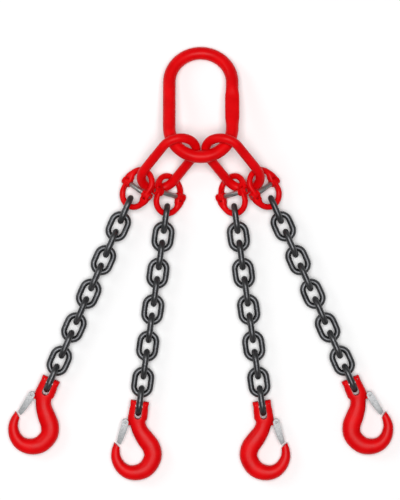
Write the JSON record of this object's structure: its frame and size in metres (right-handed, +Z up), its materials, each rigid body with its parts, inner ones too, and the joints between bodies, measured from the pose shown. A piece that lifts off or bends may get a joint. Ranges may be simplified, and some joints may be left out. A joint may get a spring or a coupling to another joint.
{
  "type": "chain sling",
  "caption": "Chain sling with a master link, chain legs on coupling links and latched clevis hooks, laid out flat.",
  "frame": {"origin": "on the floor under the middle of the whole sling as it lies", "axes": "+Z up from the floor, +Y towards the master link along the sling, +X to the right with the legs numbered from left to right"},
  "size_m": [0.6292, 0.7084, 0.0911],
  "materials": {
    "red_paint": "gloss red paint on forged steel",
    "chain_steel": "dark tempered steel, lightly oiled",
    "latch_zinc": "zinc plated pressed sheet",
    "bright_steel": "plain ground steel pin"
  },
  "bodies": {
    "master_link": {"master_link": "red_paint"},
    "intermediate_link_left": {"intermediate_link_left": "red_paint"},
    "intermediate_link_right": {"intermediate_link_right": "red_paint"},
    "leg_1_coupling_upper_half": {"leg_1_coupling_upper_half": "red_paint"},
    "leg_1_coupling_lower_half": {"leg_1_coupling_lower_half": "red_paint"},
    "leg_1_hook": {"leg_1_hook": "red_paint"},
    "leg_1_latch": {"leg_1_latch": "latch_zinc"},
    "leg_2_coupling_upper_half": {"leg_2_coupling_upper_half": "red_paint"},
    "leg_2_coupling_lower_half": {"leg_2_coupling_lower_half": "red_paint"},
    "leg_2_hook": {"leg_2_hook": "red_paint"},
    "leg_2_latch": {"leg_2_latch": "latch_zinc"},
    "leg_3_coupling_upper_half": {"leg_3_coupling_upper_half": "red_paint"},
    "leg_3_coupling_lower_half": {"leg_3_coupling_lower_half": "red_paint"},
    "leg_3_hook": {"leg_3_hook": "red_paint"},
    "leg_3_latch": {"leg_3_latch": "latch_zinc"},
    "leg_4_coupling_upper_half": {"leg_4_coupling_upper_half": "red_paint"},
    "leg_4_coupling_lower_half": {"leg_4_coupling_lower_half": "red_paint"},
    "leg_4_hook": {"leg_4_hook": "red_paint"},
    "leg_4_latch": {"leg_4_latch": "latch_zinc"},
    "leg_1_chain_link_1": {"leg_1_chain_link_1": "chain_steel"},
    "leg_1_chain_link_2": {"leg_1_chain_link_2": "chain_steel"},
    "leg_1_chain_link_3": {"leg_1_chain_link_3": "chain_steel"},
    "leg_1_chain_link_4": {"leg_1_chain_link_4": "chain_steel"},
    "leg_1_chain_link_5": {"leg_1_chain_link_5": "chain_steel"},
    "leg_1_chain_link_6": {"leg_1_chain_link_6": "chain_steel"},
    "leg_1_chain_link_7": {"leg_1_chain_link_7": "chain_steel"},
    "leg_1_chain_link_8": {"leg_1_chain_link_8": "chain_steel"},
    "leg_1_chain_link_9": {"leg_1_chain_link_9": "chain_steel"},
    "leg_1_chain_links_10_11": {"leg_1_chain_links_10_11": "chain_steel"},
    "leg_2_chain_link_1": {"leg_2_chain_link_1": "chain_steel"},
    "leg_2_chain_link_2": {"leg_2_chain_link_2": "chain_steel"},
    "leg_2_chain_link_3": {"leg_2_chain_link_3": "chain_steel"},
    "leg_2_chain_link_4": {"leg_2_chain_link_4": "chain_steel"},
    "leg_2_chain_link_5": {"leg_2_chain_link_5": "chain_steel"},
    "leg_2_chain_link_6": {"leg_2_chain_link_6": "chain_steel"},
    "leg_2_chain_link_7": {"leg_2_chain_link_7": "chain_steel"},
    "leg_2_chain_link_8": {"leg_2_chain_link_8": "chain_steel"},
    "leg_2_chain_link_9": {"leg_2_chain_link_9": "chain_steel"},
    "leg_2_chain_links_10_11": {"leg_2_chain_links_10_11": "chain_steel"},
    "leg_3_chain_link_1": {"leg_3_chain_link_1": "chain_steel"},
    "leg_3_chain_link_2": {"leg_3_chain_link_2": "chain_steel"},
    "leg_3_chain_link_3": {"leg_3_chain_link_3": "chain_steel"},
    "leg_3_chain_link_4": {"leg_3_chain_link_4": "chain_steel"},
    "leg_3_chain_link_5": {"leg_3_chain_link_5": "chain_steel"},
    "leg_3_chain_link_6": {"leg_3_chain_link_6": "chain_steel"},
    "leg_3_chain_link_7": {"leg_3_chain_link_7": "chain_steel"},
    "leg_3_chain_link_8": {"leg_3_chain_link_8": "chain_steel"},
    "leg_3_chain_link_9": {"leg_3_chain_link_9": "chain_steel"},
    "leg_3_chain_links_10_11": {"leg_3_chain_links_10_11": "chain_steel"},
    "leg_4_chain_link_1": {"leg_4_chain_link_1": "chain_steel"},
    "leg_4_chain_link_2": {"leg_4_chain_link_2": "chain_steel"},
    "leg_4_chain_link_3": {"leg_4_chain_link_3": "chain_steel"},
    "leg_4_chain_link_4": {"leg_4_chain_link_4": "chain_steel"},
    "leg_4_chain_link_5": {"leg_4_chain_link_5": "chain_steel"},
    "leg_4_chain_link_6": {"leg_4_chain_link_6": "chain_steel"},
    "leg_4_chain_link_7": {"leg_4_chain_link_7": "chain_steel"},
    "leg_4_chain_link_8": {"leg_4_chain_link_8": "chain_steel"},
    "leg_4_chain_link_9": {"leg_4_chain_link_9": "chain_steel"},
    "leg_4_chain_links_10_11": {"leg_4_chain_links_10_11": "chain_steel"}
  },
  "joints": [
    {"name": "intermediate_link_left_swing", "type": "hinge", "parent": "master_link", "child": "intermediate_link_left", "pos_m": [-0.03199, 0.18255, 0.06904], "axis": [-0.7836, 0.5841, -0.2114], "range_deg": [-4, 8]},
    {"name": "intermediate_link_right_swing", "type": "hinge", "parent": "master_link", "child": "intermediate_link_right", "pos_m": [0.03199, 0.18255, 0.06904], "axis": [-0.7836, -0.5841, 0.2114], "range_deg": [-4, 8]},
    {"name": "leg_1_coupling_swing", "type": "hinge", "parent": "intermediate_link_left", "child": "leg_1_coupling_upper_half", "pos_m": [-0.09622, 0.14291, 0.04524], "axis": [0.1576, 0.7411, 0.6526], "range_deg": [-20, 2]},
    {"name": "leg_1_coupling_fold", "type": "hinge", "parent": "leg_1_coupling_upper_half", "child": "leg_1_coupling_lower_half", "pos_m": [-0.1037, 0.12231, 0.03024], "axis": [-0.7339, 0.5207, -0.4362], "range_deg": [-25, 25]},
    {"name": "leg_2_coupling_swing", "type": "hinge", "parent": "intermediate_link_left", "child": "leg_2_coupling_upper_half", "pos_m": [-0.04667, 0.1322, 0.01943], "axis": [-0.6773, -0.6288, -0.3818], "range_deg": [-15, 2]},
    {"name": "leg_2_coupling_fold", "type": "hinge", "parent": "leg_2_coupling_upper_half", "child": "leg_2_coupling_lower_half", "pos_m": [-0.0513, 0.11281, 0.02324], "axis": [0.8141, -0.2222, -0.5365], "range_deg": [-25, 25]},
    {"name": "leg_3_coupling_swing", "type": "hinge", "parent": "intermediate_link_right", "child": "leg_3_coupling_upper_half", "pos_m": [0.04667, 0.1322, 0.01943], "axis": [-0.6773, 0.6288, 0.3818], "range_deg": [-15, 2]},
    {"name": "leg_3_coupling_fold", "type": "hinge", "parent": "leg_3_coupling_upper_half", "child": "leg_3_coupling_lower_half", "pos_m": [0.0513, 0.11281, 0.02324], "axis": [0.8141, 0.2222, 0.5365], "range_deg": [-25, 25]},
    {"name": "leg_4_coupling_swing", "type": "hinge", "parent": "intermediate_link_right", "child": "leg_4_coupling_upper_half", "pos_m": [0.09622, 0.14291, 0.04524], "axis": [0.1576, -0.7411, -0.6526], "range_deg": [-20, 2]},
    {"name": "leg_4_coupling_fold", "type": "hinge", "parent": "leg_4_coupling_upper_half", "child": "leg_4_coupling_lower_half", "pos_m": [0.1037, 0.12231, 0.03024], "axis": [-0.7339, -0.5207, 0.4362], "range_deg": [-25, 25]},
    {"name": "leg_1_hook_swing", "type": "hinge", "parent": "leg_1_chain_links_10_11", "child": "leg_1_hook", "pos_m": [-0.24685, -0.19537, 0.01916], "axis": [-0.9157, 0.4019, 0], "range_deg": [-45, 45]},
    {"name": "leg_2_hook_swing", "type": "hinge", "parent": "leg_2_chain_links_10_11", "child": "leg_2_hook", "pos_m": [-0.10036, -0.23305, 0.01836], "axis": [0.9903, -0.1392, 0], "range_deg": [-45, 45]},
    {"name": "leg_3_hook_swing", "type": "hinge", "parent": "leg_3_chain_links_10_11", "child": "leg_3_hook", "pos_m": [0.10036, -0.23305, 0.01836], "axis": [0.9903, 0.1392, 0], "range_deg": [-45, 45]},
    {"name": "leg_4_hook_swing", "type": "hinge", "parent": "leg_4_chain_links_10_11", "child": "leg_4_hook", "pos_m": [0.24685, -0.19537, 0.01916], "axis": [-0.9157, -0.4019, 0], "range_deg": [-45, 45]},
    {"name": "leg_1_latch_swing", "type": "hinge", "parent": "leg_1_hook", "child": "leg_1_latch", "pos_m": [-0.27573, -0.21389, 0.01765], "axis": [-0.0212, -0.0482, 0.9986], "range_deg": [0, 34], "stiffness_Nm_per_rad": 0.08, "springref_deg": -34.38},
    {"name": "leg_2_latch_swing", "type": "hinge", "parent": "leg_2_hook", "child": "leg_2_latch", "pos_m": [-0.12315, -0.25869, 0.01685], "axis": [-0.0073, -0.0522, 0.9986], "range_deg": [0, 34], "stiffness_Nm_per_rad": 0.08, "springref_deg": -34.38},
    {"name": "leg_3_latch_swing", "type": "hinge", "parent": "leg_3_hook", "child": "leg_3_latch", "pos_m": [0.12315, -0.25869, 0.01685], "axis": [-0.0073, 0.0522, -0.9986], "range_deg": [0, 34], "stiffness_Nm_per_rad": 0.08, "springref_deg": -34.38},
    {"name": "leg_4_latch_swing", "type": "hinge", "parent": "leg_4_hook", "child": "leg_4_latch", "pos_m": [0.27573, -0.21389, 0.01765], "axis": [-0.0212, 0.0482, -0.9986], "range_deg": [0, 34], "stiffness_Nm_per_rad": 0.08, "springref_deg": -34.38},
    {"name": "leg_1_link_1_swing", "type": "hinge", "parent": "leg_1_coupling_lower_half", "child": "leg_1_chain_link_1", "pos_m": [-0.11907, 0.09514, 0.02367], "axis": [0.7339, -0.5207, 0.4362], "range_deg": [-20, 20]},
    {"name": "leg_1_link_2_sway", "type": "hinge", "parent": "leg_1_chain_link_1", "child": "leg_1_chain_link_2", "pos_m": [-0.13052, 0.06964, 0.02279], "axis": [0.0051, 0.0115, -0.9999], "range_deg": [-6, 25]},
    {"name": "leg_1_link_3_swing", "type": "hinge", "parent": "leg_1_chain_link_2", "child": "leg_1_chain_link_3", "pos_m": [-0.14258, 0.04217, 0.02242], "axis": [0.9157, -0.4019, 0], "range_deg": [-30, 30]},
    {"name": "leg_1_link_4_sway", "type": "hinge", "parent": "leg_1_chain_link_3", "child": "leg_1_chain_link_4", "pos_m": [-0.15464, 0.01471, 0.02204], "axis": [-0.0051, -0.0115, 0.9999], "range_deg": [-25, 11]},
    {"name": "leg_1_link_5_swing", "type": "hinge", "parent": "leg_1_chain_link_4", "child": "leg_1_chain_link_5", "pos_m": [-0.16669, -0.01276, 0.02166], "axis": [0.9157, -0.4019, 0], "range_deg": [-30, 30]},
    {"name": "leg_1_link_6_sway", "type": "hinge", "parent": "leg_1_chain_link_5", "child": "leg_1_chain_link_6", "pos_m": [-0.17875, -0.04023, 0.02128], "axis": [-0.0051, -0.0115, 0.9999], "range_deg": [-25, 16]},
    {"name": "leg_1_link_7_swing", "type": "hinge", "parent": "leg_1_chain_link_6", "child": "leg_1_chain_link_7", "pos_m": [-0.19081, -0.0677, 0.02091], "axis": [0.9157, -0.4019, 0], "range_deg": [-30, 30]},
    {"name": "leg_1_link_8_sway", "type": "hinge", "parent": "leg_1_chain_link_7", "child": "leg_1_chain_link_8", "pos_m": [-0.20287, -0.09517, 0.02053], "axis": [0.0051, 0.0115, -0.9999], "range_deg": [-20, 25]},
    {"name": "leg_1_link_9_swing", "type": "hinge", "parent": "leg_1_chain_link_8", "child": "leg_1_chain_link_9", "pos_m": [-0.21492, -0.12263, 0.02015], "axis": [0.9157, -0.4019, 0], "range_deg": [-30, 30]},
    {"name": "leg_1_link_10_sway", "type": "hinge", "parent": "leg_1_chain_link_9", "child": "leg_1_chain_links_10_11", "pos_m": [-0.22698, -0.1501, 0.01978], "axis": [0.0051, 0.0115, -0.9999], "range_deg": [-30, 30]},
    {"name": "leg_2_link_1_swing", "type": "hinge", "parent": "leg_2_coupling_lower_half", "child": "leg_2_chain_link_1", "pos_m": [-0.05895, 0.08187, 0.02445], "axis": [-0.8141, 0.2222, 0.5365], "range_deg": [-12, 12]},
    {"name": "leg_2_link_2_sway", "type": "hinge", "parent": "leg_2_chain_link_1", "child": "leg_2_chain_link_2", "pos_m": [-0.06008, 0.05355, 0.02199], "axis": [-0.0017, -0.0124, 0.9999], "range_deg": [-7, 7]},
    {"name": "leg_2_link_3_swing", "type": "hinge", "parent": "leg_2_chain_link_2", "child": "leg_2_chain_link_3", "pos_m": [-0.06425, 0.02385, 0.02162], "axis": [-0.9903, 0.1392, 0], "range_deg": [-30, 30]},
    {"name": "leg_2_link_4_sway", "type": "hinge", "parent": "leg_2_chain_link_3", "child": "leg_2_chain_link_4", "pos_m": [-0.06843, -0.00586, 0.02124], "axis": [-0.0017, -0.0124, 0.9999], "range_deg": [-11, 11]},
    {"name": "leg_2_link_5_swing", "type": "hinge", "parent": "leg_2_chain_link_4", "child": "leg_2_chain_link_5", "pos_m": [-0.0726, -0.03556, 0.02086], "axis": [-0.9903, 0.1392, 0], "range_deg": [-30, 30]},
    {"name": "leg_2_link_6_sway", "type": "hinge", "parent": "leg_2_chain_link_5", "child": "leg_2_chain_link_6", "pos_m": [-0.07678, -0.06527, 0.02048], "axis": [0.0017, 0.0124, -0.9999], "range_deg": [-16, 16]},
    {"name": "leg_2_link_7_swing", "type": "hinge", "parent": "leg_2_chain_link_6", "child": "leg_2_chain_link_7", "pos_m": [-0.08095, -0.09498, 0.02011], "axis": [-0.9903, 0.1392, 0], "range_deg": [-30, 30]},
    {"name": "leg_2_link_8_sway", "type": "hinge", "parent": "leg_2_chain_link_7", "child": "leg_2_chain_link_8", "pos_m": [-0.08513, -0.12468, 0.01973], "axis": [-0.0017, -0.0124, 0.9999], "range_deg": [-20, 20]},
    {"name": "leg_2_link_9_swing", "type": "hinge", "parent": "leg_2_chain_link_8", "child": "leg_2_chain_link_9", "pos_m": [-0.0893, -0.15439, 0.01935], "axis": [0.9903, -0.1392, 0], "range_deg": [-30, 30]},
    {"name": "leg_2_link_10_sway", "type": "hinge", "parent": "leg_2_chain_link_9", "child": "leg_2_chain_links_10_11", "pos_m": [-0.09348, -0.18409, 0.01898], "axis": [0.0017, 0.0124, -0.9999], "range_deg": [-30, 30]},
    {"name": "leg_3_link_1_swing", "type": "hinge", "parent": "leg_3_coupling_lower_half", "child": "leg_3_chain_link_1", "pos_m": [0.05895, 0.08187, 0.02445], "axis": [-0.8141, -0.2222, -0.5365], "range_deg": [-12, 12]},
    {"name": "leg_3_link_2_sway", "type": "hinge", "parent": "leg_3_chain_link_1", "child": "leg_3_chain_link_2", "pos_m": [0.06008, 0.05355, 0.02199], "axis": [-0.0017, 0.0124, -0.9999], "range_deg": [-7, 7]},
    {"name": "leg_3_link_3_swing", "type": "hinge", "parent": "leg_3_chain_link_2", "child": "leg_3_chain_link_3", "pos_m": [0.06425, 0.02385, 0.02162], "axis": [-0.9903, -0.1392, 0], "range_deg": [-30, 30]},
    {"name": "leg_3_link_4_sway", "type": "hinge", "parent": "leg_3_chain_link_3", "child": "leg_3_chain_link_4", "pos_m": [0.06843, -0.00586, 0.02124], "axis": [-0.0017, 0.0124, -0.9999], "range_deg": [-11, 11]},
    {"name": "leg_3_link_5_swing", "type": "hinge", "parent": "leg_3_chain_link_4", "child": "leg_3_chain_link_5", "pos_m": [0.0726, -0.03556, 0.02086], "axis": [-0.9903, -0.1392, 0], "range_deg": [-30, 30]},
    {"name": "leg_3_link_6_sway", "type": "hinge", "parent": "leg_3_chain_link_5", "child": "leg_3_chain_link_6", "pos_m": [0.07678, -0.06527, 0.02048], "axis": [0.0017, -0.0124, 0.9999], "range_deg": [-16, 16]},
    {"name": "leg_3_link_7_swing", "type": "hinge", "parent": "leg_3_chain_link_6", "child": "leg_3_chain_link_7", "pos_m": [0.08095, -0.09498, 0.02011], "axis": [-0.9903, -0.1392, 0], "range_deg": [-30, 30]},
    {"name": "leg_3_link_8_sway", "type": "hinge", "parent": "leg_3_chain_link_7", "child": "leg_3_chain_link_8", "pos_m": [0.08513, -0.12468, 0.01973], "axis": [-0.0017, 0.0124, -0.9999], "range_deg": [-20, 20]},
    {"name": "leg_3_link_9_swing", "type": "hinge", "parent": "leg_3_chain_link_8", "child": "leg_3_chain_link_9", "pos_m": [0.0893, -0.15439, 0.01935], "axis": [0.9903, 0.1392, 0], "range_deg": [-30, 30]},
    {"name": "leg_3_link_10_sway", "type": "hinge", "parent": "leg_3_chain_link_9", "child": "leg_3_chain_links_10_11", "pos_m": [0.09348, -0.18409, 0.01898], "axis": [0.0017, -0.0124, 0.9999], "range_deg": [-30, 30]},
    {"name": "leg_4_link_1_swing", "type": "hinge", "parent": "leg_4_coupling_lower_half", "child": "leg_4_chain_link_1", "pos_m": [0.11907, 0.09514, 0.02367], "axis": [0.7339, 0.5207, -0.4362], "range_deg": [-20, 20]},
    {"name": "leg_4_link_2_sway", "type": "hinge", "parent": "leg_4_chain_link_1", "child": "leg_4_chain_link_2", "pos_m": [0.13052, 0.06964, 0.02279], "axis": [0.0051, -0.0115, 0.9999], "range_deg": [-6, 25]},
    {"name": "leg_4_link_3_swing", "type": "hinge", "parent": "leg_4_chain_link_2", "child": "leg_4_chain_link_3", "pos_m": [0.14258, 0.04217, 0.02242], "axis": [0.9157, 0.4019, 0], "range_deg": [-30, 30]},
    {"name": "leg_4_link_4_sway", "type": "hinge", "parent": "leg_4_chain_link_3", "child": "leg_4_chain_link_4", "pos_m": [0.15464, 0.01471, 0.02204], "axis": [-0.0051, 0.0115, -0.9999], "range_deg": [-25, 11]},
    {"name": "leg_4_link_5_swing", "type": "hinge", "parent": "leg_4_chain_link_4", "child": "leg_4_chain_link_5", "pos_m": [0.16669, -0.01276, 0.02166], "axis": [0.9157, 0.4019, 0], "range_deg": [-30, 30]},
    {"name": "leg_4_link_6_sway", "type": "hinge", "parent": "leg_4_chain_link_5", "child": "leg_4_chain_link_6", "pos_m": [0.17875, -0.04023, 0.02128], "axis": [-0.0051, 0.0115, -0.9999], "range_deg": [-25, 16]},
    {"name": "leg_4_link_7_swing", "type": "hinge", "parent": "leg_4_chain_link_6", "child": "leg_4_chain_link_7", "pos_m": [0.19081, -0.0677, 0.02091], "axis": [0.9157, 0.4019, 0], "range_deg": [-30, 30]},
    {"name": "leg_4_link_8_sway", "type": "hinge", "parent": "leg_4_chain_link_7", "child": "leg_4_chain_link_8", "pos_m": [0.20287, -0.09517, 0.02053], "axis": [0.0051, -0.0115, 0.9999], "range_deg": [-20, 25]},
    {"name": "leg_4_link_9_swing", "type": "hinge", "parent": "leg_4_chain_link_8", "child": "leg_4_chain_link_9", "pos_m": [0.21492, -0.12263, 0.02015], "axis": [0.9157, 0.4019, 0], "range_deg": [-30, 30]},
    {"name": "leg_4_link_10_sway", "type": "hinge", "parent": "leg_4_chain_link_9", "child": "leg_4_chain_links_10_11", "pos_m": [0.22698, -0.1501, 0.01978], "axis": [0.0051, -0.0115, 0.9999], "range_deg": [-30, 30]}
  ]
}
